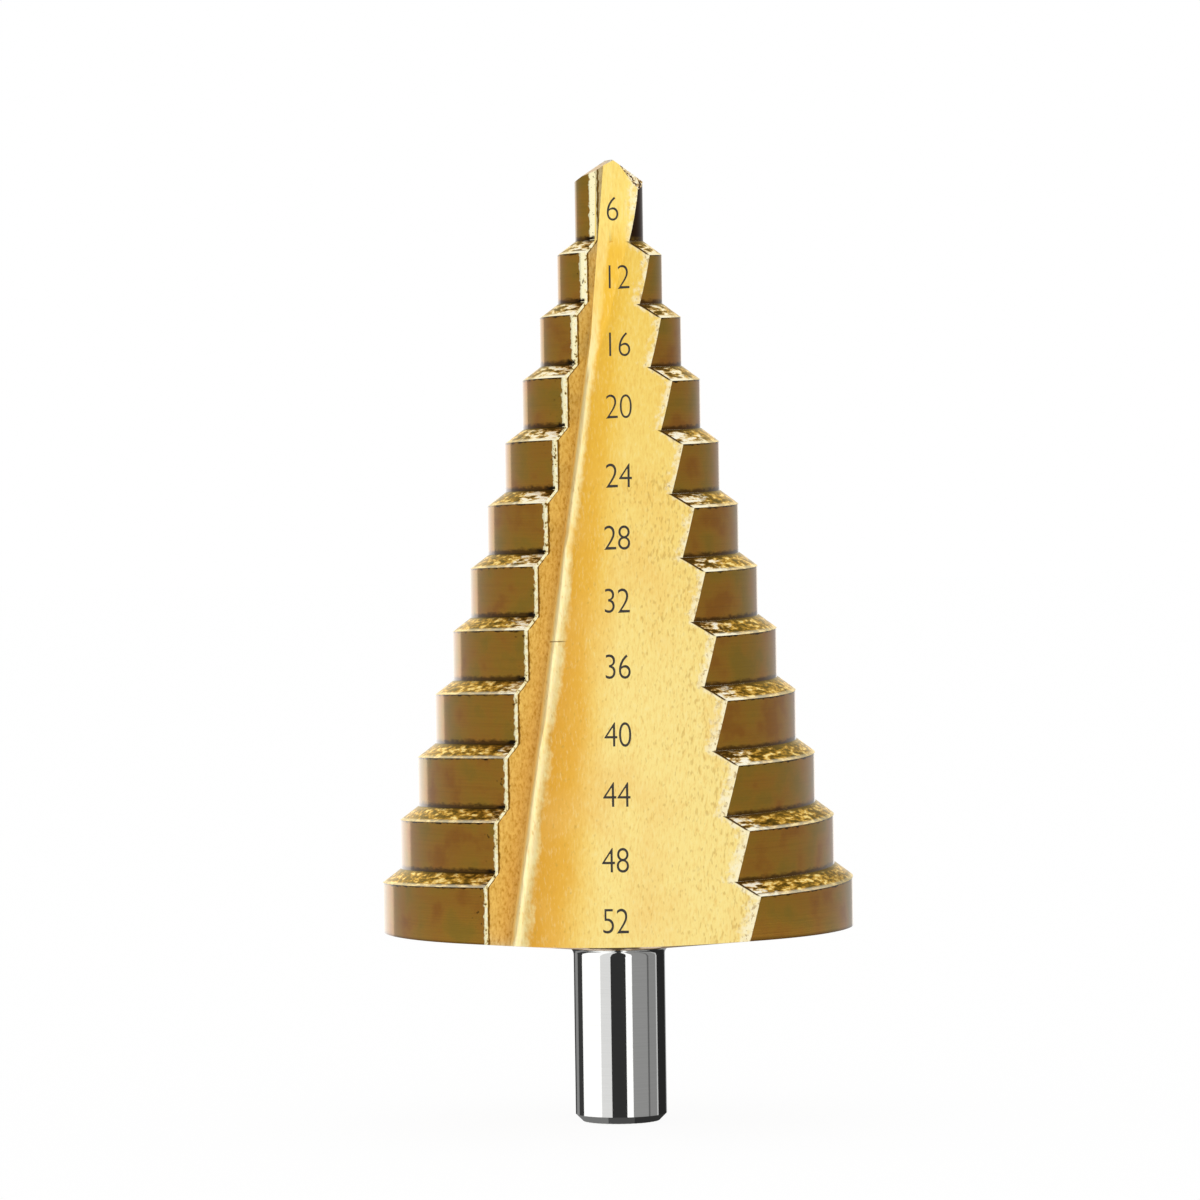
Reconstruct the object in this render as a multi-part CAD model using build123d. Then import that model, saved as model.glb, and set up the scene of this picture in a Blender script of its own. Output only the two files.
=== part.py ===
# Stepped drill for sheet metal, ground from one bar: a stepped conical cutting body on a plain round shank.
# Millimetres. The origin is the middle of the shank's end face, +Z runs up to the tip, and the
# flute that carries the size numbers faces -Y. Seen from the tip, the drill cuts turning anticlockwise.

import os
from math import cos, radians, sin, tan

from build123d import *

# Shank
shank_diameter = 10.0
shank_length = 21.3  # from its end face to the rim of the largest step
shank_end_chamfer = 0.9
shank_corner_radius = 0.8  # where the shank meets the back of the body

# Steps, counted from the largest down to the pilot
smallest_step_diameter = 12.0
step_increment = 4.0
step_count = 11
step_pitch = 6.82
ramp_height = 1.5  # the cone that leads from one step to the next larger one
back_slope = 6.0  # degrees, the back of the body falls away from its rim towards the shank

# Pilot and point
pilot_diameter = 8.0
pilot_length = 8.9  # from the foot of the pilot to the tip
point_angle = 135.0
lip_relief = 16.0  # degrees, first facet behind each lip
clearance_relief = 29.5  # degrees, second facet
clearance_start = 0.8  # from the middle of the web to the second facet
notch_slope = 63.0  # degrees, the steep notch that clears each heel
notch_start = 1.7  # from the middle of the web to the notch

# Lands
land_relief = 0.62  # each land's own axis is moved this far towards its cutting edge
ramp_relief = 2.0  # degrees that each ramp leans, down from its cutting edge to its heel

# Flutes, two and the same, half a turn apart
rake_azimuth = 34.8  # degrees to the left of -Y, the way the rake face runs outwards
rake_offset = 0.95  # the rake face lies this far ahead of the axis
face_azimuth = 80.5  # degrees to the right of -Y, the way the broad face runs to the heel
face_tilt = 12.35  # degrees between the broad face and the axis, which its plane meets at the tip
root_radius_rim = 1.9
root_radius_tip = 1.6
blend_width_rim = 6.5  # how far the hollow blend beside the root reaches over the broad face
blend_width_tip = 1.4
blend_turn = 12.0  # degrees that the hollow blend turns
web_azimuth = 110.0  # degrees to the right of -Y, the way the upper face runs along the web
web_tilt = 5.0  # degrees between the upper face and the axis
web_distance = 2.07  # from the axis to the upper face at the tip

# Lengths that cutting bodies reach past the steel
run_over = 4.0

largest_diameter = smallest_step_diameter + (step_count - 1) * step_increment
largest_radius = largest_diameter / 2
rim_z = shank_length
pilot_foot_z = rim_z + step_count * step_pitch
tip_z = pilot_foot_z + pilot_length

# Directions in plan: outwards along the rake face, and ahead of it the way the drill turns.
outwards = Vector(-sin(radians(rake_azimuth)), -cos(radians(rake_azimuth)), 0)
ahead = Vector(cos(radians(rake_azimuth)), -sin(radians(rake_azimuth)), 0)
# Along the broad face to the heel, and square to it out of the flute.
heelwards = Vector(sin(radians(face_azimuth)), -cos(radians(face_azimuth)), 0)
out_of_flute = Vector(-cos(radians(face_azimuth)), -sin(radians(face_azimuth)), 0)
out_of_web = Vector(-cos(radians(web_azimuth)), -sin(radians(web_azimuth)), 0)


def both_sides(shape):
    """The shape and its twin half a turn round the axis."""
    return [shape, Rot(0, 0, 180) * shape]


def back_height(radius):
    """Height of the back of the body at a radius."""
    return rim_z - (largest_radius - radius) * tan(radians(back_slope))


def stepped_half():
    """The left half of the stepped body. It is turned about the left land's own axis, and each ramp leans,
    so that lands and ramps both fall away behind their cutting edges."""
    foot = back_height(0) - run_over
    upright = (Align.CENTER, Align.CENTER, Align.MIN)
    radius = pilot_diameter / 2 - land_relief
    top = tip_z + run_over
    turned = Pos(0, 0, foot) * Cylinder(radius, top - foot, align=upright)
    for index in range(step_count):
        narrow = radius
        radius = (smallest_step_diameter + index * step_increment) / 2 - land_relief
        top = pilot_foot_z - index * step_pitch - ramp_height
        slope = ramp_height / (radius - narrow)
        depth = top - foot + run_over
        cone = Cone(radius + depth / slope, 0, depth + radius * slope, align=upright)
        below_ramp = Pos(0, 0, top) * Rot(-ramp_relief, 0, 0) * Pos(0, 0, -depth) * cone
        step = Pos(0, 0, foot) * Cylinder(radius, top + step_pitch - foot, align=upright)
        turned += step & below_ramp
    turned = Pos(*(outwards * land_relief)) * turned
    reach = 2 * (largest_diameter + tip_z)
    left_side = Box(reach, reach, reach, align=(Align.MAX, Align.CENTER, Align.CENTER))
    return turned & left_side


def back_envelope():
    """Everything above the shallow cone at the back of the body."""
    reach = largest_radius + run_over
    top = tip_z + 2 * run_over
    outline = [(0, back_height(0)), (reach, back_height(reach)), (reach, top), (0, top)]
    return revolve(make_face(Plane.XZ * Polyline(outline, close=True)), Axis.Z)


def flute_section(z, root_radius, blend_width):
    """Cross-section of the front flute's space at height z: rake face, root, hollow blend, broad face."""
    face_distance = (tip_z - z) * tan(radians(face_tilt))
    root_reach = (face_distance - rake_offset * ahead.dot(out_of_flute)) / outwards.dot(out_of_flute)
    corner = ahead * rake_offset + outwards * root_reach
    turn = radians(blend_turn)
    closing = ahead.dot(heelwards) * sin(turn) - ahead.dot(out_of_flute) * (1 - cos(turn))
    blend_radius = blend_width * ahead.dot(heelwards) / closing
    blend_end = corner + heelwards * blend_width
    blend_middle = (
        blend_end
        - heelwards * blend_radius * sin(turn / 2)
        + out_of_flute * blend_radius * (1 - cos(turn / 2))
    )
    root = blend_end - heelwards * blend_radius * sin(turn) + out_of_flute * blend_radius * (1 - cos(turn))
    reach = 2 * largest_diameter
    rake_end = ahead * rake_offset + outwards * reach
    heel_end = blend_end + heelwards * reach
    outline = [
        Line(rake_end, root),
        ThreePointArc(root, blend_middle, blend_end),
        Line(blend_end, heel_end),
        Line(heel_end, rake_end),
    ]
    section = make_face(outline)
    section = fillet(section.vertices().sort_by_distance(root)[0], root_radius)
    return Pos(0, 0, z) * section


def front_flute():
    """The space of the front flute. Towards the tip it leaves the web standing, behind the upper face."""
    space = loft(
        [
            flute_section(back_height(0) - run_over, root_radius_rim, blend_width_rim),
            flute_section(tip_z + run_over, root_radius_tip, blend_width_tip),
        ],
        ruled=True,
    )
    reach = 8 * (largest_diameter + tip_z)
    behind_face = Box(reach, reach, reach, align=(Align.CENTER, Align.CENTER, Align.MAX))
    place = out_of_web * web_distance + Vector(0, 0, tip_z)
    square_to_it = out_of_web + Vector(0, 0, tan(radians(web_tilt)))
    return space - Plane(origin=place, z_dir=square_to_it) * behind_face


def point_facets():
    """The three ground facets behind the left lip, each as the block of steel that it takes away."""
    behind = ahead * -1
    tip = Vector(0, 0, tip_z)
    lip_fall = 1 / tan(radians(point_angle / 2))
    relief = tan(radians(lip_relief))
    second_facet_start = tip + behind * clearance_start - Vector(0, 0, relief * clearance_start)
    facets = [
        (tip, lip_fall, relief),
        (second_facet_start, lip_fall, tan(radians(clearance_relief))),
        (tip + behind * notch_start, 0, tan(radians(notch_slope))),
    ]
    size = 4 * pilot_diameter
    block = Box(size, size, size, align=(Align.CENTER, Align.CENTER, Align.MIN))
    blocks = []
    for place, fall_outwards, fall_behind in facets:
        square_to_it = outwards * fall_outwards + behind * fall_behind + Vector(0, 0, 1)
        blocks.append(Plane(origin=place, z_dir=square_to_it) * block)
    return blocks


def shank():
    """The plain round shank, with its end chamfer and the small corner radius under the body."""
    radius = shank_diameter / 2
    corner_z = back_height(radius + shank_corner_radius)
    arc_middle = shank_corner_radius * (1 - cos(radians(45)))
    outline = [
        Polyline(
            (0, 0),
            (radius - shank_end_chamfer, 0),
            (radius, shank_end_chamfer),
            (radius, corner_z - shank_corner_radius),
        ),
        ThreePointArc(
            (radius, corner_z - shank_corner_radius),
            (radius + arc_middle, corner_z - arc_middle),
            (radius + shank_corner_radius, corner_z),
        ),
        Polyline(
            (radius + shank_corner_radius, corner_z),
            (radius + shank_corner_radius, rim_z),
            (0, rim_z),
            (0, 0),
        ),
    ]
    return revolve(make_face(Plane.XZ * Curve(outline)), Axis.Z)


def step_drill():
    left, right = both_sides(stepped_half())
    body = (left + right) & back_envelope()
    for flute in both_sides(front_flute()):
        body -= flute
    for block in point_facets():
        for facet in both_sides(block):
            body -= facet
    return body + shank()


os.makedirs("parts", exist_ok=True)
export_step(step_drill(), "parts/step_drill.step")
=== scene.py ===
# Looks of a coated step drill. Metres, in the frame of the CAD part: +Z runs up to the tip and the
# flute with the size numbers faces -Y.

from math import cos, hypot, radians, sin, tan

import bmesh
import bpy
from mathutils import Matrix, Vector
from mathutils.bvhtree import BVHTree


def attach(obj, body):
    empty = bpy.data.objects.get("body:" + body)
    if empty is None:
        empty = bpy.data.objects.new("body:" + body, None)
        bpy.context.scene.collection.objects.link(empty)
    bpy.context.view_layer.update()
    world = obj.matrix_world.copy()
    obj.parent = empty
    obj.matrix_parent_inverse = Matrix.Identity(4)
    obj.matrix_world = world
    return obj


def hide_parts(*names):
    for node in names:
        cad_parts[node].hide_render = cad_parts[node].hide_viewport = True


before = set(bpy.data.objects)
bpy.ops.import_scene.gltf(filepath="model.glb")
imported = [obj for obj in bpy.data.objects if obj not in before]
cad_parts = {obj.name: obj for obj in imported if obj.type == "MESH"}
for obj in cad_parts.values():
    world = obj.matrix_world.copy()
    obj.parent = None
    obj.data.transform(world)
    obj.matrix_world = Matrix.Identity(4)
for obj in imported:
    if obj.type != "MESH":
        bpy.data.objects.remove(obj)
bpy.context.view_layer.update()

MM = 0.001

# Sizes of the part, in millimetres and degrees
RIM_Z, STEP_PITCH, RAMP_SHARE = 21.3, 6.82, 1.5 / 6.82
PILOT_FOOT_Z, TIP_Z = 96.32, 105.22
PILOT_RAMP_Z = PILOT_FOOT_Z - 1.6  # just below the ramp under the pilot
POINT_FOOT_Z = PILOT_FOOT_Z + 4  # on the pilot, below every facet of the point
PLAIN_STEPS = 11.4  # above this many steps the pilot is plain
LARGEST_RADIUS, STEP_DROP, LAND_RELIEF = 26.0, 2.0, 0.62
SHANK_RADIUS, CORNER_REACH = 5.0, 0.9
BACK_SLOPE, RAMP_LEAN = 6.0, 2.0
RAMP_RISE = 0.77, 0.83  # the least and most that a ramp's normal points up
RAKE_AZIMUTH, RAKE_OFFSET = 34.8, 0.95
FACE_AZIMUTH, FACE_TILT = 80.5, 12.35
WEB_AZIMUTH, WEB_TILT = 110.0, 5.0
BLEND_FOOT_Z, BLEND_FOOT_WIDTH = 14.57, 6.5  # the hollow blend beside the root, below the rim
BLEND_TOP_Z, BLEND_TOP_WIDTH = 109.22, 1.4  # and above the tip
SCRATCH_Z, SCRATCH_WIDTH = 53.0, 0.12  # a hairline across the root of the front flute
SLIVER = 1.6  # this near to X = 0 the pilot and its ramp are ground away with the upper face
LIP_STRIP = 0.2  # width of the strip along each cutting edge

# Corners this near are merged, edges this short are dropped, and facets this near to flat are joined
MERGE_DISTANCE, SHORTEST_EDGE, FLAT_ANGLE = 0.001 * MM, 0.03 * MM, radians(0.5)

OUTWARDS = Vector((-sin(radians(RAKE_AZIMUTH)), -cos(radians(RAKE_AZIMUTH)), 0))
AHEAD = Vector((cos(radians(RAKE_AZIMUTH)), -sin(radians(RAKE_AZIMUTH)), 0))
HEELWARDS = Vector((sin(radians(FACE_AZIMUTH)), -cos(radians(FACE_AZIMUTH)), 0))
OUT_OF_FLUTE = Vector((-cos(radians(FACE_AZIMUTH)), -sin(radians(FACE_AZIMUTH)), 0))


def tilted(azimuth, tilt):
    """The way out of a flute face that runs at an azimuth and leans back towards the axis."""
    out = Vector((-cos(radians(azimuth)), -sin(radians(azimuth)), 0))
    return (out + Vector((0, 0, tan(radians(tilt))))).normalized()


FACE_NORMAL = tilted(FACE_AZIMUTH, FACE_TILT)
WEB_NORMAL = tilted(WEB_AZIMUTH, WEB_TILT)

LAND, RAMP, RAKE, FLUTE, LIP, POINT, BACK, SHANK = range(8)


# Shape


def turned(normal):
    """The same direction on the other side of the drill."""
    return Vector((-normal.x, -normal.y, normal.z))


def along(normal, wanted, limit):
    """Whether a normal is the wanted one, on either side of the drill."""
    return max(normal.dot(wanted), normal.dot(turned(wanted))) > limit


def surface_of(face):
    """Which surface of the drill a face belongs to, and whether that surface is flat."""
    normal, middle = face.normal, face.calc_center_median() / MM
    if middle.z < RIM_Z and hypot(middle.x, middle.y) < SHANK_RADIUS + CORNER_REACH:
        return SHANK, normal.z < -0.99
    if normal.z < -0.9:
        return BACK, False
    if along(normal, AHEAD, 0.9998) and abs(abs(middle.dot(AHEAD)) - RAKE_OFFSET) < 0.1:
        return RAKE, True
    if middle.z > POINT_FOOT_Z and normal.z > 0.3:
        return POINT, True
    if along(normal, FACE_NORMAL, 0.99995) or along(normal, WEB_NORMAL, 0.99995):
        return FLUTE, True
    if abs(middle.x) < SLIVER and middle.z > PILOT_RAMP_Z:
        return FLUTE, False
    radial = middle.xy.normalized().dot(normal.xy.normalized()) if normal.xy.length > 0.01 else 0
    if abs(normal.z) < 0.03 and radial > 0.9:
        return LAND, False
    if RAMP_RISE[0] < normal.z < RAMP_RISE[1]:
        return RAMP, False
    return FLUTE, False


def land_axis(point):
    """The axis that a land turns about, for the side of the drill that a point is on."""
    return OUTWARDS.xy * LAND_RELIEF * MM * (1 if point.x < 0 else -1)


def smooth_normal(face, loop, kinds):
    """The true normal of a turned or blended surface at a corner of one of its facets."""
    point, kind = loop.vert.co, kinds[face]
    if kind == LAND or kind == RAMP:
        middle = face.calc_center_median()
        radial = (point.xy - land_axis(middle)).normalized()
        if kind == LAND:
            return radial.to_3d()
        up = Vector((radial.x, radial.y, STEP_DROP / (RAMP_SHARE * STEP_PITCH))).normalized()
        return Matrix.Rotation(radians(RAMP_LEAN if middle.x > 0 else -RAMP_LEAN), 3, "X") @ up
    if kind == BACK:
        radial = point.xy.normalized() * tan(radians(BACK_SLOPE))
        return Vector((radial.x, radial.y, -1)).normalized()
    total = Vector()
    for other in loop.vert.link_faces:
        if other.normal.dot(face.normal) > 0.9:
            total += other.normal * other.calc_area()
    return total.normalized()


def dressed_drill(node):
    """A merged copy of the CAD node, with ground strips along its cutting edges and true normals."""
    shape = bmesh.new()
    shape.from_mesh(node.data)
    bmesh.ops.remove_doubles(shape, verts=shape.verts, dist=MERGE_DISTANCE)
    bmesh.ops.dissolve_degenerate(shape, edges=shape.edges, dist=SHORTEST_EDGE)
    bmesh.ops.dissolve_limit(shape, angle_limit=FLAT_ANGLE, verts=shape.verts, edges=shape.edges)
    for face in shape.faces:
        face.material_index = surface_of(face)[0]

    def between(edge, first, second):
        kinds = {f.material_index for f in edge.link_faces}
        return kinds == {first, second}

    lips = [e for e in shape.edges if between(e, RAKE, LAND) or between(e, RAKE, RAMP)]
    bmesh.ops.bevel(
        shape, geom=lips, offset=LIP_STRIP * MM, affect="EDGES", segments=1, profile=0.5, material=LIP
    )
    shape.normal_update()
    kinds, flats = {}, {}
    for face in shape.faces:
        kinds[face] = face.material_index
        flats[face] = face.material_index == LIP or surface_of(face)[1]
        face.smooth = True
    normals = []
    for face in shape.faces:
        for loop in face.loops:
            normals.append(face.normal.copy() if flats[face] else smooth_normal(face, loop, kinds))
    mesh = bpy.data.meshes.new("drill")
    shape.to_mesh(mesh)
    shape.free()
    mesh.normals_split_custom_set(normals)
    drill = bpy.data.objects.new("drill", mesh)
    bpy.context.scene.collection.objects.link(drill)
    return drill


# Place of the middle of each size number, seen from the front: across and up, in millimetres
NUMBERS = [
    ("6", 0.40, 99.80),
    ("12", 1.00, 92.36),
    ("16", 0.96, 85.01),
    ("20", 0.77, 78.25),
    ("24", 0.66, 70.77),
    ("28", 0.38, 64.08),
    ("32", 0.28, 57.31),
    ("36", 0.27, 50.26),
    ("40", 0.15, 43.03),
    ("44", -0.05, 36.68),
    ("48", -0.30, 29.73),
    ("52", -0.35, 23.34),
]
NUMBER_HEIGHT = 2.6 * MM
NUMBER_WIDTH, NUMBER_SPACING = 0.82, 0.95  # of the plain letter form
STROKE_CUT, THIN_STROKE_CUT = 0.012, 0.017  # taken off each side of a stroke, as a share of the letter size
THIN_ABOVE = 75  # millimetres up, above which the numbers are marked with thinner strokes
LONGEST_EDGE, LETTER_MERGE = 0.16, 0.0005  # shares of the letter size: edges are cut, corners are merged
LAYER_OUT, LAYER_IN = 0.015 * MM, 0.03 * MM  # how far the layer stands out of the flute, and reaches in
IN_FRONT = -50 * MM  # the numbers are laid on the flute from here, along Y


def size_numbers(drill):
    """The size numbers as one thin closed layer each, laid on the front flute."""
    target = bmesh.new()
    target.from_mesh(drill.data)
    ground = BVHTree.FromBMesh(target)
    layer = bmesh.new()
    for text, across, up in NUMBERS:
        curve = bpy.data.curves.new("number", "FONT")
        curve.body, curve.size, curve.extrude = text, 1.0, 0.1
        curve.offset = -THIN_STROKE_CUT if up > THIN_ABOVE else -STROKE_CUT
        curve.align_x, curve.align_y, curve.space_character = "CENTER", "CENTER", NUMBER_SPACING
        holder = bpy.data.objects.new("number", curve)
        bpy.context.scene.collection.objects.link(holder)
        bpy.context.view_layer.update()
        evaluated = holder.evaluated_get(bpy.context.evaluated_depsgraph_get())
        flat = bpy.data.meshes.new_from_object(evaluated)
        bpy.data.objects.remove(holder)
        glyph = bmesh.new()
        glyph.from_mesh(flat)
        bmesh.ops.remove_doubles(glyph, verts=glyph.verts, dist=LETTER_MERGE)
        bmesh.ops.triangulate(glyph, faces=glyph.faces)
        for _ in range(2):
            flat_edges = [e for e in glyph.edges if e.verts[0].co.z * e.verts[1].co.z > 0]
            wide = [e for e in flat_edges if e.calc_length() > LONGEST_EDGE]
            bmesh.ops.subdivide_edges(glyph, edges=wide, cuts=1)
            bmesh.ops.triangulate(glyph, faces=glyph.faces)
        low = min(v.co.y for v in glyph.verts)
        high = max(v.co.y for v in glyph.verts)
        left = min(v.co.x for v in glyph.verts)
        right = max(v.co.x for v in glyph.verts)
        scale = NUMBER_HEIGHT / (high - low)
        for vert in glyph.verts:
            x = across * MM + (vert.co.x - (left + right) / 2) * scale * NUMBER_WIDTH
            z = up * MM + (vert.co.y - (low + high) / 2) * scale
            hit = ground.ray_cast(Vector((x, IN_FRONT, z)), Vector((0, 1, 0)))[0]
            vert.co = (x, hit.y + (-LAYER_OUT if vert.co.z > 0 else LAYER_IN), z)
        bmesh.ops.recalc_face_normals(glyph, faces=glyph.faces)
        glyph.to_mesh(flat)
        glyph.free()
        layer.from_mesh(flat)
        bpy.data.meshes.remove(flat)
    mesh = bpy.data.meshes.new("size_numbers")
    layer.to_mesh(mesh)
    layer.free()
    target.free()
    piece = bpy.data.objects.new("size_numbers", mesh)
    bpy.context.scene.collection.objects.link(piece)
    return piece


# Materials


def linear(code):
    """An sRGB hex colour as linear red, green, blue and alpha."""
    parts = [int(code[i : i + 2], 16) / 255 for i in (1, 3, 5)]
    return [p / 12.92 if p <= 0.04045 else ((p + 0.055) / 1.055) ** 2.4 for p in parts] + [1]


def add(tree, kind, inputs=(), stops=(), **settings):
    """Adds a node with its settings. Its inputs in use, in turn or by name, get a number, a vector, a hex
    colour, or a node or output that feeds them, and a colour ramp gets its stops."""
    made = tree.nodes.new("ShaderNode" + kind)
    for name, value in settings.items():
        setattr(made, name, value)
    for index, (place, colour) in enumerate(stops):
        points = made.color_ramp.elements
        point = points[index] if index < len(points) else points.new(place)
        point.position, point.color = place, linear(colour)
    if not isinstance(inputs, dict):
        inputs = dict(zip([socket for socket in made.inputs if socket.enabled], inputs))
    for socket, value in inputs.items():
        socket = made.inputs[socket] if isinstance(socket, str) else socket
        if isinstance(value, bpy.types.Node):
            value = next(output for output in value.outputs if output.enabled)
        if isinstance(value, bpy.types.NodeSocket):
            tree.links.new(value, socket)
        else:
            socket.default_value = linear(value) if isinstance(value, str) else value
    return made


def blank(name):
    """A new material with an empty node tree."""
    material = bpy.data.materials.new(name)
    material.use_nodes = True
    material.node_tree.nodes.clear()
    return material, material.node_tree


def finish(tree, colour, roughness, height, depth, metallic=1.0, coat=0.0, tint="#FFFFFF"):
    """Ends a node tree with its surface, whose relief has a depth in millimetres. A coat is a film of oil,
    and a tint colours what a metal reflects at a low angle."""
    bump = add(tree, "Bump", {"Height": height, "Distance": depth * MM})
    look = {"Base Color": colour, "Metallic": metallic, "Roughness": roughness, "Normal": bump}
    surface = add(tree, "BsdfPrincipled", {**look, "Coat Weight": coat, "Specular Tint": tint})
    add(tree, "OutputMaterial", {"Surface": surface})


def places(tree):
    """Where a point is, in millimetres: the point, its height, its level, which is the height with the lean
    of the ramps taken out, and its side of the drill, -1 on the left and 1 on the right."""
    spot = add(tree, "VectorMath", [add(tree, "TexCoord").outputs["Object"], 1 / MM], operation="SCALE")
    parts = add(tree, "SeparateXYZ", [spot]).outputs
    side = add(tree, "Math", [parts["X"]], operation="SIGN")
    lean = add(tree, "Math", [side, -tan(radians(RAMP_LEAN))], operation="MULTIPLY")
    level = add(tree, "Math", [parts["Y"], lean, parts["Z"]], operation="MULTIPLY_ADD")
    return spot, parts["Z"], level, side


def grain(tree, spot, size, detail=2.0, rough=0.5):
    """Cloudy grain of the given size in millimetres along X, Y and Z."""
    scaled = add(tree, "Mapping", {"Vector": spot, "Scale": [1 / s for s in size]})
    return add(tree, "TexNoise", {"Vector": scaled, "Scale": 1.0, "Detail": detail, "Roughness": rough})


def ragged(tree, value, spot, size, amount):
    """A distance or share made irregular by up to an amount, for an uneven edge."""
    offset = add(tree, "MapRange", [grain(tree, spot, size, 3.0, 0.6), 0.0, 1.0, -amount, amount])
    return add(tree, "Math", [value, offset], operation="ADD")


def step_place(tree, level):
    """How many steps up a level is: the whole steps, and the share of the next one. The pilot is plain."""
    steps = add(tree, "MapRange", [level, RIM_Z, RIM_Z + PLAIN_STEPS * STEP_PITCH, 0.0, PLAIN_STEPS])
    return add(tree, "Math", [steps], operation="FLOOR"), add(tree, "Math", [steps], operation="FRACT")


def edge_distance(tree, spot, level, side):
    """Millimetres from a point of a flute in to the edge of the stepped outline."""
    whole, share = step_place(tree, level)
    drop = add(tree, "MapRange", [share, 1 - RAMP_SHARE, 1.0, 0.0, STEP_DROP])
    radius = add(tree, "Math", [whole, -STEP_DROP, LARGEST_RADIUS - LAND_RELIEF], operation="MULTIPLY_ADD")
    radius = add(tree, "Math", [radius, drop], operation="SUBTRACT")
    to_left = add(tree, "Math", [side, -1.0], operation="MULTIPLY")
    left = add(tree, "VectorMath", [spot, to_left], operation="SCALE")
    flat = add(tree, "VectorMath", [left, (1, 1, 0)], operation="MULTIPLY")
    length = add(tree, "VectorMath", [flat, OUTWARDS * LAND_RELIEF], operation="DISTANCE")
    return add(tree, "Math", [radius, length], operation="SUBTRACT")


def lip_distance(tree, spot, side):
    """Millimetres that a point of a land lies behind the rake face in front of it."""
    ahead = add(tree, "VectorMath", [spot, AHEAD], operation="DOT_PRODUCT")
    return add(tree, "Math", [ahead, side, RAKE_OFFSET], operation="MULTIPLY_ADD")


def heel_distance(tree, spot, height, side):
    """Millimetres that a point of a land lies ahead of the broad face behind it."""
    flat = Vector((FACE_NORMAL.x, FACE_NORMAL.y, 0))
    out = add(tree, "VectorMath", [spot, flat], operation="DOT_PRODUCT")
    out = add(tree, "Math", [out, side], operation="MULTIPLY")
    up = add(tree, "Math", [height, -FACE_NORMAL.z, FACE_NORMAL.z * TIP_Z], operation="MULTIPLY_ADD")
    return add(tree, "Math", [up, out], operation="SUBTRACT")


def worn_lip_and_highlight(tree, spot, height, side, colour):
    """Lays the ragged bright strip along a cutting edge over a colour, partly wear and partly a painted
    highlight, wider on the pilot, with small dark nicks in it."""
    back = lip_distance(tree, spot, side)
    wide = add(tree, "MapRange", [height, TIP_Z - 45, PILOT_FOOT_Z, 0.3, 0.8])
    uneven = ragged(tree, back, spot, (0.6, 0.6, 0.6), 0.4)
    over = add(tree, "Math", [uneven, wide], operation="SUBTRACT")
    # Partly wear and partly a painted highlight: the pale strip along the lip.
    bright = add(tree, "MapRange", [over, -0.05, 0.05, 1.0, 0.0])
    colour = add(tree, "Mix", [bright, colour, "#FFF6C8"], data_type="RGBA")
    nicks = grain(tree, spot, (0.45, 0.45, 0.5), 3.0, 0.6)
    nicks = add(tree, "Math", [back, -0.05, nicks], operation="MULTIPLY_ADD")
    nicks = add(tree, "MapRange", [nicks, 0.6, 0.64])
    return add(tree, "Mix", [nicks, colour, "#5A3E12"], data_type="RGBA")


def nitride_land():
    """Titanium nitride on a land that was ground round: a mirror with fine lines round the drill, painted a
    darker bronze than the flutes as shade, with painted shade in the crease along its ramps, and a strip at
    the lip that is partly wear and partly a painted highlight."""
    material, tree = blank("titanium_nitride_ground_round")
    spot, height, level, side = places(tree)
    patches = grain(tree, spot, (4, 4, 3.5), 3.0)
    # Painted shade: these browns, darker than the flute's gold, stand for the dark surroundings the lands
    # reflect.
    browns = [(0.34, "#9A7A2C"), (0.46, "#A67C2C"), (0.56, "#A9782C"), (0.68, "#A06A28")]
    colour = add(tree, "ValToRGB", [patches], browns)
    lines = grain(tree, spot, (9, 9, 0.14))
    dull = add(tree, "MapRange", [lines, 0.42, 0.8, 0.0, 0.18])
    colour = add(tree, "Mix", [dull, colour, "#6E4E1C"], data_type="RGBA")
    share = step_place(tree, level)[1]
    uneven = ragged(tree, share, spot, (0.8, 0.8, 0.4), 0.06)
    # Painted shade: dark bands in the crease at the foot of each land, above the rim.
    painted_dark = add(tree, "MapRange", [uneven, 0.03, 0.08, 0.85, 0.0])
    above_rim = add(tree, "MapRange", [level, RIM_Z + 2, RIM_Z + 3])
    painted_dark = add(tree, "Math", [painted_dark, above_rim], operation="MULTIPLY")
    colour = add(tree, "Mix", [painted_dark, colour, "#3E2608"], data_type="RGBA")
    under_ramp = add(tree, "MapRange", [uneven, 0.75, 0.775])
    colour = add(tree, "Mix", [under_ramp, colour, "#2A1A06"], data_type="RGBA")
    rim = add(tree, "MapRange", [height, RIM_Z, RIM_Z + 0.3, 0.7, 0.0])
    colour = add(tree, "Mix", [rim, colour, "#3E2608"], data_type="RGBA")
    back = lip_distance(tree, spot, side)
    # Painted shade: near-black spots in the corner at the foot of each land, beside the lip.
    by_lip = add(tree, "MapRange", [back, 0.9, 1.6, 1.0, 0.0])
    at_foot = add(tree, "MapRange", [uneven, 0.03, 0.06, 1.0, 0.0])
    corner = add(tree, "Math", [by_lip, at_foot], operation="MULTIPLY")
    corner = add(tree, "Math", [corner, above_rim], operation="MULTIPLY")
    # Painted shade: a near-black patch on the pilot's land, near its heel.
    by_heel = add(tree, "MapRange", [back, 2.7, 4.2])
    on_pilot = add(tree, "MapRange", [height, PILOT_FOOT_Z, PILOT_FOOT_Z + 0.5])
    pilot_heel_shade = add(tree, "Math", [by_heel, on_pilot], operation="MULTIPLY")
    colour = add(tree, "Mix", [pilot_heel_shade, colour, "#321D0A"], data_type="RGBA")
    colour = worn_lip_and_highlight(tree, spot, height, side, colour)
    colour = add(tree, "Mix", [corner, colour, "#1E1408"], data_type="RGBA")
    finish(tree, colour, 0.12, lines, 0.002, coat=0.1)
    return material


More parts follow.
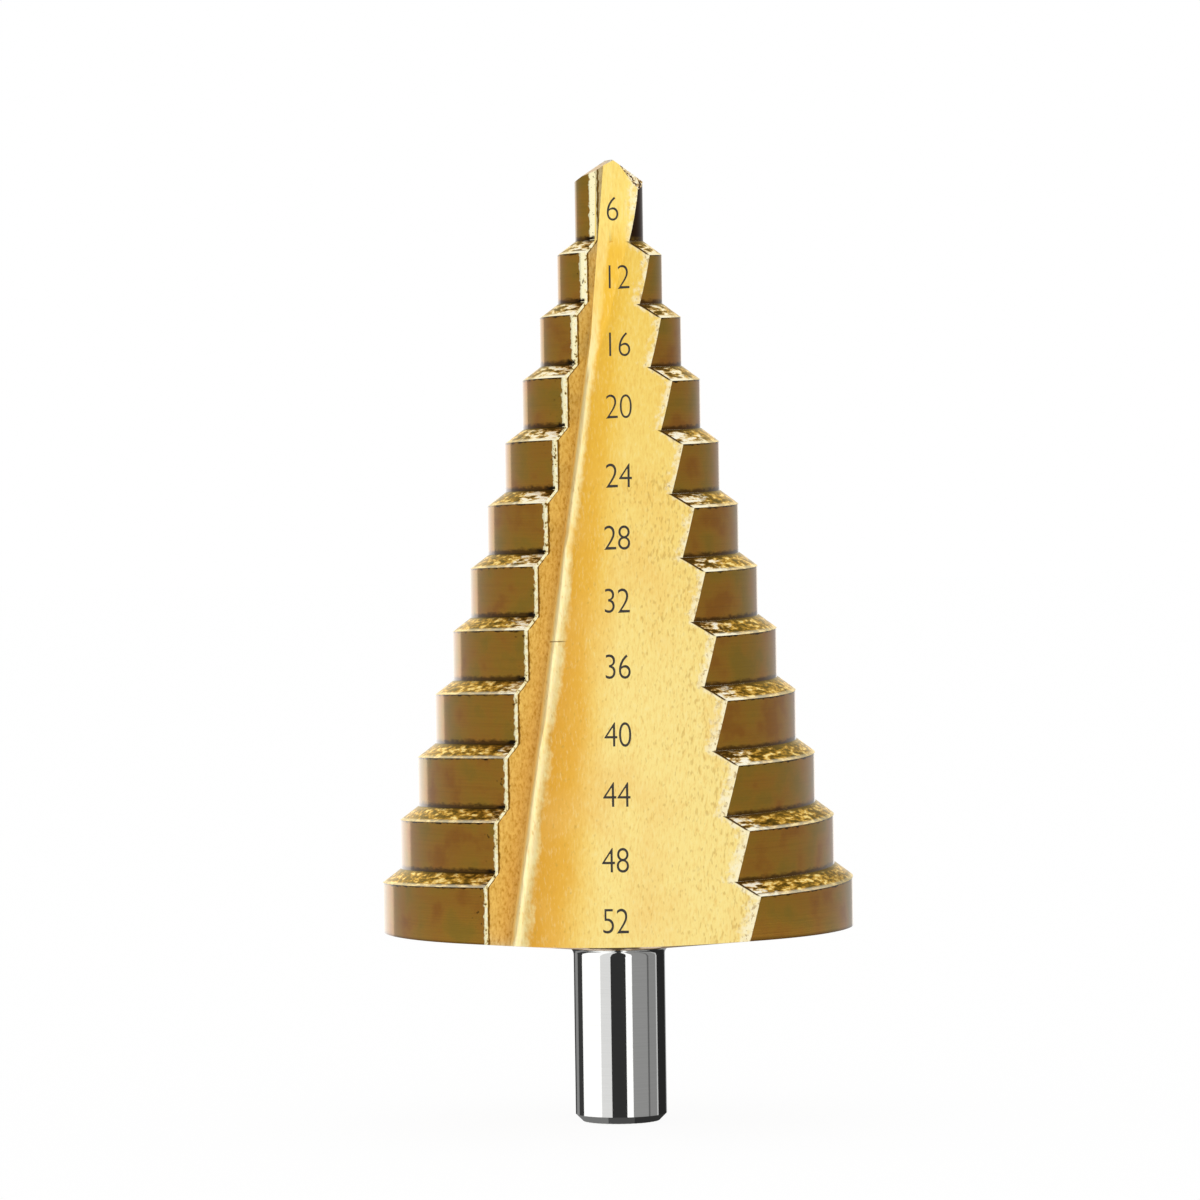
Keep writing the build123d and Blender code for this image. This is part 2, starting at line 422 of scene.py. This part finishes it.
def nitride_ramp():
    """Titanium nitride on the turned ramps, coloured with painted reflections: cream with soft strokes
    beside the flutes, and gold and dark brown over the middle of each land, which takes up more of the
    large steps, and with painted shade in the crease at each ramp's top."""
    material, tree = blank("titanium_nitride_turned")
    spot, height, level, side = places(tree)
    # Painted reflections: the cream strokes and the darker gold and brown stand for what the turned ramps
    # reflect.
    strokes = grain(tree, spot, (1.5, 1.5, 0.34), 3.0, 0.6)
    creams = [(0.42, "#FFFBEA"), (0.47, "#EFDAA4"), (0.52, "#A87C34"), (0.58, "#462E0C")]
    pale = add(tree, "ValToRGB", [strokes], creams)
    reflection_grain = grain(tree, spot, (1.3, 1.3, 0.34), 3.0, 0.6)
    golds = [(0.36, "#FBE49C"), (0.43, "#D6A84A"), (0.49, "#A07628"), (0.55, "#6E4E14"), (0.64, "#3A2606")]
    painted_dark = add(tree, "ValToRGB", [reflection_grain], golds)
    lip_reach = add(tree, "MapRange", [height, RIM_Z + 10, TIP_Z - 30, 0.1, 5.0])
    heel_reach = add(tree, "MapRange", [height, RIM_Z, TIP_Z - 30, 1.2, 3.0])
    by_lip = add(tree, "Math", [lip_reach, lip_distance(tree, spot, side)], operation="SUBTRACT")
    by_heel = add(tree, "Math", [heel_reach, heel_distance(tree, spot, height, side)], operation="SUBTRACT")
    near = add(tree, "Math", [by_lip, by_heel], operation="MAXIMUM")
    near = ragged(tree, near, spot, (1.5, 1.5, 0.6), 4.0)
    pale_share = add(tree, "MapRange", [near, -0.5, 0.7])
    colour = add(tree, "Mix", [pale_share, painted_dark, pale], data_type="RGBA")
    share = step_place(tree, level)[1]
    foot = add(tree, "MapRange", [share, 1 - RAMP_SHARE + 0.02, 1 - RAMP_SHARE + 0.045, 1.0, 0.0])
    kept = add(tree, "MapRange", [pale_share, 0.0, 1.0, 0.45, 1.0])
    foot = add(tree, "Math", [foot, kept], operation="MULTIPLY")
    colour = add(tree, "Mix", [foot, colour, "#FFFAE2"], data_type="RGBA")
    # Painted shade: a dark band in the crease at the top of each ramp.
    top = add(tree, "MapRange", [ragged(tree, share, spot, (1.0, 1.0, 0.35), 0.04), 0.955, 0.985])
    colour = add(tree, "Mix", [top, colour, "#4E3410"], data_type="RGBA")
    finish(tree, colour, 0.26, reflection_grain, 0.03, tint="#FFF0C6")
    return material


def flute_places(tree, spot, height):
    """Where a point lies across its flute: 0 at the root, 1 where the hollow blend ends."""
    side = add(tree, "VectorMath", [spot, OUT_OF_FLUTE], operation="DOT_PRODUCT")
    side = add(tree, "Math", [side], operation="SIGN")
    across = add(tree, "VectorMath", [spot, HEELWARDS], operation="DOT_PRODUCT")
    # The root lies where the rake face meets the broad face, which reaches the axis at the tip.
    lean = tan(radians(FACE_TILT)) * HEELWARDS.dot(OUTWARDS) / OUTWARDS.dot(OUT_OF_FLUTE)
    shift = AHEAD - OUTWARDS * (AHEAD.dot(OUT_OF_FLUTE) / OUTWARDS.dot(OUT_OF_FLUTE))
    at_tip = RAKE_OFFSET * HEELWARDS.dot(shift)
    root = add(tree, "Math", [height, lean, -lean * TIP_Z - at_tip], operation="MULTIPLY_ADD")
    from_root = add(tree, "Math", [across, side, root], operation="MULTIPLY_ADD")
    narrowing = (BLEND_TOP_WIDTH - BLEND_FOOT_WIDTH) / (BLEND_TOP_Z - BLEND_FOOT_Z)
    at_zero = BLEND_FOOT_WIDTH - narrowing * BLEND_FOOT_Z
    blend = add(tree, "Math", [height, narrowing, at_zero], operation="MULTIPLY_ADD")
    return add(tree, "Math", [from_root, blend], operation="DIVIDE")


def nitride_flute():
    """Titanium nitride in the ground flute: a painted cream highlight in the root, orange gold beside it
    that is partly a painted reflection, and pale gold to the heel, with short grinding marks along the
    flute, a rubbed pale heel with small specks, and one hairline scratch."""
    material, tree = blank("titanium_nitride_ground_flute")
    spot, height, level, side = places(tree)
    place = flute_places(tree, spot, height)
    uneven = ragged(tree, place, spot, (2.5, 2.5, 6), 0.25)
    uneven = ragged(tree, uneven, spot, (0.4, 0.4, 0.6), 0.1)
    reach = add(tree, "Math", [uneven, 0.25], operation="MULTIPLY")
    # The cream at the root is a painted highlight, and the orange gold beside it is partly a painted
    # reflection.
    golds = [
        (0.0, "#FDECB4"),
        (0.024, "#FBE49E"),
        (0.056, "#E6AA3E"),
        (0.16, "#EDB648"),
        (0.25, "#F8D270"),
        (0.36, "#FDE48E"),
        (0.9, "#FCE490"),
    ]
    colour = add(tree, "ValToRGB", [reach], golds)
    clouds = add(tree, "MapRange", [grain(tree, spot, (6, 6, 9)), 0.5, 0.7, 0.0, 0.4])
    colour = add(tree, "Mix", [clouds, colour, "#F4C670"], data_type="RGBA")
    # Partly a painted reflection: orange gold over the upper steps, away from the root.
    small = add(tree, "MapRange", [height, TIP_Z - 58, TIP_Z - 14, 0.0, 0.68])
    off_root = add(tree, "MapRange", [uneven, 0.05, 0.3, 0.3, 1.0])
    no_root = add(tree, "MapRange", [height, TIP_Z - 25, TIP_Z - 16])
    off_root = add(tree, "Math", [off_root, no_root], operation="MAXIMUM")
    small = add(tree, "Math", [small, off_root], operation="MULTIPLY")
    colour = add(tree, "Mix", [small, colour, "#F4C846"], data_type="RGBA")
    pilot = add(tree, "MapRange", [height, PILOT_FOOT_Z - 1, PILOT_FOOT_Z + 2, 0.0, 0.85])
    colour = add(tree, "Mix", [pilot, colour, "#FBE07E"], data_type="RGBA")
    marks = grain(tree, spot, (0.22, 0.22, 1.3), 3.0, 0.6)
    dark = add(tree, "MapRange", [marks, 0.5, 0.78, 0.0, 0.5])
    colour = add(tree, "Mix", [dark, colour, "#E2AC4C"], data_type="RGBA")
    light = add(tree, "MapRange", [marks, 0.46, 0.26, 0.0, 0.3])
    colour = add(tree, "Mix", [light, colour, "#FFF3B8"], data_type="RGBA")
    heel = edge_distance(tree, spot, level, side)
    by_heel = add(tree, "MapRange", [heel, 1.0, 5.0])
    low = add(tree, "MapRange", [height, TIP_Z - 25, TIP_Z - 35])
    rows = add(tree, "Math", [grain(tree, spot, (0.28, 0.28, 0.8), 1.0), low], operation="MULTIPLY")
    rows = add(tree, "Math", [by_heel, -0.12, rows], operation="MULTIPLY_ADD")
    rows = add(tree, "MapRange", [rows, 0.52, 0.68, 0.0, 0.5])
    colour = add(tree, "Mix", [rows, colour, "#C69C48"], data_type="RGBA")
    off_middle = add(tree, "Math", [add(tree, "SeparateXYZ", [spot])], operation="ABSOLUTE")
    off_middle = add(tree, "MapRange", [off_middle, SLIVER, SLIVER + 0.8])
    wide = add(tree, "MapRange", [height, RIM_Z, RIM_Z + 40, 0.75, 0.35])
    rough_heel = ragged(tree, heel, spot, (0.55, 0.55, 0.7), 1.2)
    rubbed = add(tree, "Math", [rough_heel, wide], operation="SUBTRACT")
    rubbed = add(tree, "MapRange", [rubbed, -0.45, 0.3, 0.85, 0.0])
    rubbed = add(tree, "Math", [rubbed, off_middle], operation="MULTIPLY")
    colour = add(tree, "Mix", [rubbed, colour, "#FFF6D2"], data_type="RGBA")
    specks = add(tree, "MapRange", [grain(tree, spot, (0.4, 0.4, 0.5), 2.0), 0.56, 0.64, 0.0, 0.75])
    specks = add(tree, "Math", [specks, rubbed], operation="MULTIPLY")
    colour = add(tree, "Mix", [specks, colour, "#A27C38"], data_type="RGBA")
    share = step_place(tree, level)[1]
    on_ramp = add(tree, "MapRange", [share, 1 - RAMP_SHARE - 0.01, 1 - RAMP_SHARE + 0.02])
    at_edge = add(tree, "MapRange", [heel, 0.2, 0.3, 1.0, 0.0])
    burr = add(tree, "Math", [on_ramp, at_edge], operation="MULTIPLY")
    burr = add(tree, "Math", [burr, off_middle], operation="MULTIPLY")
    colour = add(tree, "Mix", [burr, colour, "#4A3210"], data_type="RGBA")
    on_line = add(tree, "Math", [height, SCRATCH_Z, SCRATCH_WIDTH / 2], operation="COMPARE")
    in_root = add(tree, "MapRange", [place, 0.1, 0.25, 0.8, 0.0])
    front = add(tree, "Math", [side, -1.0, 0.5], operation="COMPARE")
    scratch = add(tree, "Math", [on_line, in_root], operation="MULTIPLY")
    scratch = add(tree, "Math", [scratch, front], operation="MULTIPLY")
    colour = add(tree, "Mix", [scratch, colour, "#6A4A18"], data_type="RGBA")
    finish(tree, colour, 0.3, marks, 0.006)
    return material


def nitride_rake():
    """Titanium nitride on the ground rake face: dappled tan, with a pale strip along the lip that is partly
    wear and partly a painted highlight, and a line of painted shade a little in from it."""
    material, tree = blank("titanium_nitride_ground_rake")
    spot, _, level, side = places(tree)
    dapples = grain(tree, spot, (0.45, 0.45, 0.5), 3.0, 0.6)
    tans = [(0.34, "#F0DEAC"), (0.5, "#E4CE98"), (0.62, "#D6BA7C"), (0.74, "#BC9854")]
    colour = add(tree, "ValToRGB", [dapples], tans)
    lip = ragged(tree, edge_distance(tree, spot, level, side), spot, (0.5, 0.5, 0.6), 0.35)
    # Painted shade: a dark line a little in from the lip.
    dark = add(tree, "MapRange", [lip, 0.5, 0.62, 1.0, 0.0])
    colour = add(tree, "Mix", [dark, colour, "#7C5C18"], data_type="RGBA")
    # Partly wear and partly a painted highlight: a pale strip along the lip.
    bright = add(tree, "MapRange", [lip, 0.14, 0.24, 1.0, 0.0])
    colour = add(tree, "Mix", [bright, colour, "#FFF4C4"], data_type="RGBA")
    finish(tree, colour, 0.32, dapples, 0.01)
    return material


def bare_lip():
    """The honed cutting edge, where the coating is thin: a bright pale strip with small nicks."""
    material, tree = blank("high_speed_steel_honed_lip")
    spot = places(tree)[0]
    nicks = grain(tree, spot, (0.45, 0.45, 0.5), 3.0, 0.6)
    colour = add(tree, "ValToRGB", [nicks], [(0.4, "#FFFAD8"), (0.56, "#F8E8AE"), (0.64, "#7A5A20")])
    finish(tree, colour, 0.3, nicks, 0.03)
    return material


def nitride_point():
    """Titanium nitride on the rough ground point: facets with painted glints in pale gold and painted shade
    in brown and near black, and plain gold on the facets behind the lips."""
    material, tree = blank("titanium_nitride_ground_point")
    spot = places(tree)[0]
    # Painted glints and shade: the sparkle of the rough facets.
    sparks = grain(tree, spot, (0.5, 0.5, 0.5), 4.0, 0.7)
    glint_colours = [(0.43, "#FFF8DC"), (0.48, "#ECCB80"), (0.52, "#7C501E"), (0.57, "#1E1008")]
    colour = add(tree, "ValToRGB", [sparks], glint_colours)
    parts = add(tree, "SeparateXYZ", [spot]).outputs
    behind_lip = add(tree, "Math", [parts["X"], parts["Y"]], operation="MULTIPLY")
    plain = add(tree, "MapRange", [behind_lip, -0.2, 0.5, 0.0, 0.8])
    colour = add(tree, "Mix", [plain, colour, "#DDB055"], data_type="RGBA")
    finish(tree, colour, 0.3, sparks, 0.05)
    return material


def nitride_back():
    """Titanium nitride on the turned back of the body, with fine rings."""
    material, tree = blank("titanium_nitride_turned_back")
    spot = places(tree)[0]
    flat = add(tree, "VectorMath", [spot, (1, 1, 0)], operation="MULTIPLY")
    radius = add(tree, "VectorMath", [flat], operation="LENGTH")
    rings = add(tree, "TexNoise", {"W": radius, "Scale": 3.0, "Detail": 3.0}, noise_dimensions="1D")
    colour = add(tree, "ValToRGB", [rings], [(0.35, "#B98A3C"), (0.65, "#D9A84E")])
    finish(tree, colour, 0.32, rings, 0.01)
    return material


def ground_steel():
    """High speed steel, centreless ground: a bright mirror that shows its surroundings in upright bands."""
    material, tree = blank("high_speed_steel_ground")
    spot = places(tree)[0]
    lines = grain(tree, spot, (6, 6, 0.1))
    colour = add(tree, "ValToRGB", [lines], [(0.3, "#F7F7F5"), (0.7, "#FCFCFA")])
    finish(tree, colour, 0.05, lines, 0.0004)
    return material


def marking():
    """Numbers marked by a laser: a matt near-black oxide in the coating."""
    material, tree = blank("laser_marked_oxide")
    spot = places(tree)[0]
    specks = grain(tree, spot, (0.2, 0.2, 0.2))
    colour = add(tree, "ValToRGB", [specks], [(0.35, "#1E1B15"), (0.65, "#38332A")])
    finish(tree, colour, 0.6, specks, 0.002, metallic=0.0)
    return material


# Studio

FLOOR_GLOW = 0.94  # share of the floor's look that is glow, and the rest is paper that takes the shadow
CARD_STEP = 3  # degrees that each flat of a card spans, about


def white_world():
    """Even white light from all round."""
    world = bpy.data.worlds.new("white_room")
    bpy.context.scene.world = world
    world.use_nodes = True
    tree = world.node_tree
    tree.nodes.clear()
    back = add(tree, "Background", {"Color": (1, 1, 1, 1), "Strength": 1.0})
    add(tree, "OutputWorld", {"Surface": back})


def pale_floor():
    """A paper floor that takes the drill's shadow, and glows to the camera, gloss and glass as the white
    background does."""
    shape = bmesh.new()
    bmesh.ops.create_circle(shape, cap_ends=True, radius=3.0, segments=96)
    mesh = bpy.data.meshes.new("floor")
    shape.to_mesh(mesh)
    shape.free()
    floor = bpy.data.objects.new("floor", mesh)
    bpy.context.scene.collection.objects.link(floor)
    material, tree = blank("white_paper_floor")
    matt = add(tree, "BsdfDiffuse", {"Color": "#FCFCFC"})
    glow = add(tree, "Emission", {"Color": (1, 1, 1, 1), "Strength": 1.0})
    path = add(tree, "LightPath").outputs
    seen = add(tree, "Math", [path["Is Camera Ray"], path["Is Glossy Ray"]], operation="MAXIMUM")
    seen = add(tree, "Math", [seen, path["Is Transmission Ray"]], operation="MAXIMUM")
    seen = add(tree, "Math", [seen, FLOOR_GLOW], operation="MULTIPLY")
    both = add(tree, "MixShader", [seen, matt, glow])
    add(tree, "OutputMaterial", {"Surface": both})
    mesh.materials.append(material)


def cards(name, foot, head, bands):
    """A ring of studio cards that only reflections see. Foot and head are the radius and height of its
    lower and upper edge, and each band runs from one azimuth to another, right of -Y, at a level of
    grey."""
    shape = bmesh.new()
    mesh = bpy.data.meshes.new(name)
    for index, (start, end, level) in enumerate(bands):
        way = Vector((sin(radians(start)), -cos(radians(start)), 0))
        low = shape.verts.new(way * foot[0] + Vector((0, 0, foot[1])))
        high = shape.verts.new(way * head[0] + Vector((0, 0, head[1])))
        edge = shape.edges.new((low, high))
        before = set(shape.faces)
        bmesh.ops.spin(
            shape,
            geom=[low, high, edge],
            cent=(0, 0, 0),
            axis=(0, 0, 1),
            angle=radians(end - start),
            steps=max(2, round((end - start) / CARD_STEP)),
        )
        for face in set(shape.faces) - before:
            face.material_index = index
        material, tree = blank(f"{name}_{index}")
        glow = add(tree, "Emission", {"Color": (1, 1, 1, 1), "Strength": level})
        add(tree, "OutputMaterial", {"Surface": glow})
        mesh.materials.append(material)
    shape.to_mesh(mesh)
    shape.free()
    ring = bpy.data.objects.new(name, mesh)
    bpy.context.scene.collection.objects.link(ring)
    ring.visible_camera = ring.visible_diffuse = False
    ring.visible_shadow = ring.visible_transmission = False


def camera():
    """The camera of the photograph, a little above the middle of the drill and leaning slightly."""
    lens = bpy.data.cameras.new("camera")
    lens.sensor_fit, lens.sensor_width, lens.lens = "HORIZONTAL", 36.0, 178.16
    lens.clip_start, lens.clip_end = 0.01, 20.0
    eye = bpy.data.objects.new("camera", lens)
    bpy.context.scene.collection.objects.link(eye)
    elevation, distance, lean = radians(1.32), 0.65, radians(0.8)
    target = Vector((-1.56 * MM, 0, 57.16 * MM))
    back = Vector((0, -cos(elevation), sin(elevation)))
    turn = Matrix.Rotation(radians(90) - elevation, 4, "X") @ Matrix.Rotation(-lean, 4, "Z")
    eye.matrix_world = Matrix.Translation(target + back * distance) @ turn
    bpy.context.scene.camera = eye


drill = dressed_drill(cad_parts["step_drill"])
for surface in (
    nitride_land,
    nitride_ramp,
    nitride_rake,
    nitride_flute,
    bare_lip,
    nitride_point,
    nitride_back,
    ground_steel,
):
    drill.data.materials.append(surface())
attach(drill, "root")
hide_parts("step_drill")

numbers = size_numbers(drill)
numbers.data.materials.append(marking())
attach(numbers, "root")

white_world()
pale_floor()
# Grey side cards make the lands bronze, brighter ones behind give their pale outer strips, and a card
# beside the camera gives the flute's blend its orange.
side_bands = [
    (-180, -138, 1.4),
    (-138, -62, 0.62),
    (1, 16, 0.7),
    (36, 60, 1.35),
    (62, 160, 0.54),
    (160, 180, 1.3),
]
cards("side_cards", (0.25, 0.0), (0.25, 0.145), side_bands)
# Low cards round the shank give it the dark and bright bands of ground steel, and its end chamfer its dark.
shank_bands = [
    (-180, -126, 0.05),
    (-126, -108, 0.24),
    (-108, -87.5, 0.04),
    (-87.5, -38.8, 1.08),
    (-38.8, -17.6, 0.72),
    (-17.6, 11.8, 0.03),
    (11.8, 24.3, 1.08),
    (24.3, 58.0, 0.27),
    (58.0, 62.2, 0.12),
    (62.2, 83.0, 0.24),
    (83.0, 87.1, 0.55),
    (87.1, 133.4, 0.02),
    (133.4, 180, 0.3),
]
cards("shank_cards", (0.011, 0.0001), (0.011, 0.0194), shank_bands)
cards("corner_cards", (0.045, 0.0001), (0.0056, 0.0001), shank_bands)
end_bands = [(-180, -20, 0.18), (-20, 20, 0.07), (20, 180, 0.03)]
cards("end_cards", (0.0042, 0.00005), (0.011, 0.00005), end_bands)
camera()
bpy.context.scene.view_settings.view_transform = "Standard"
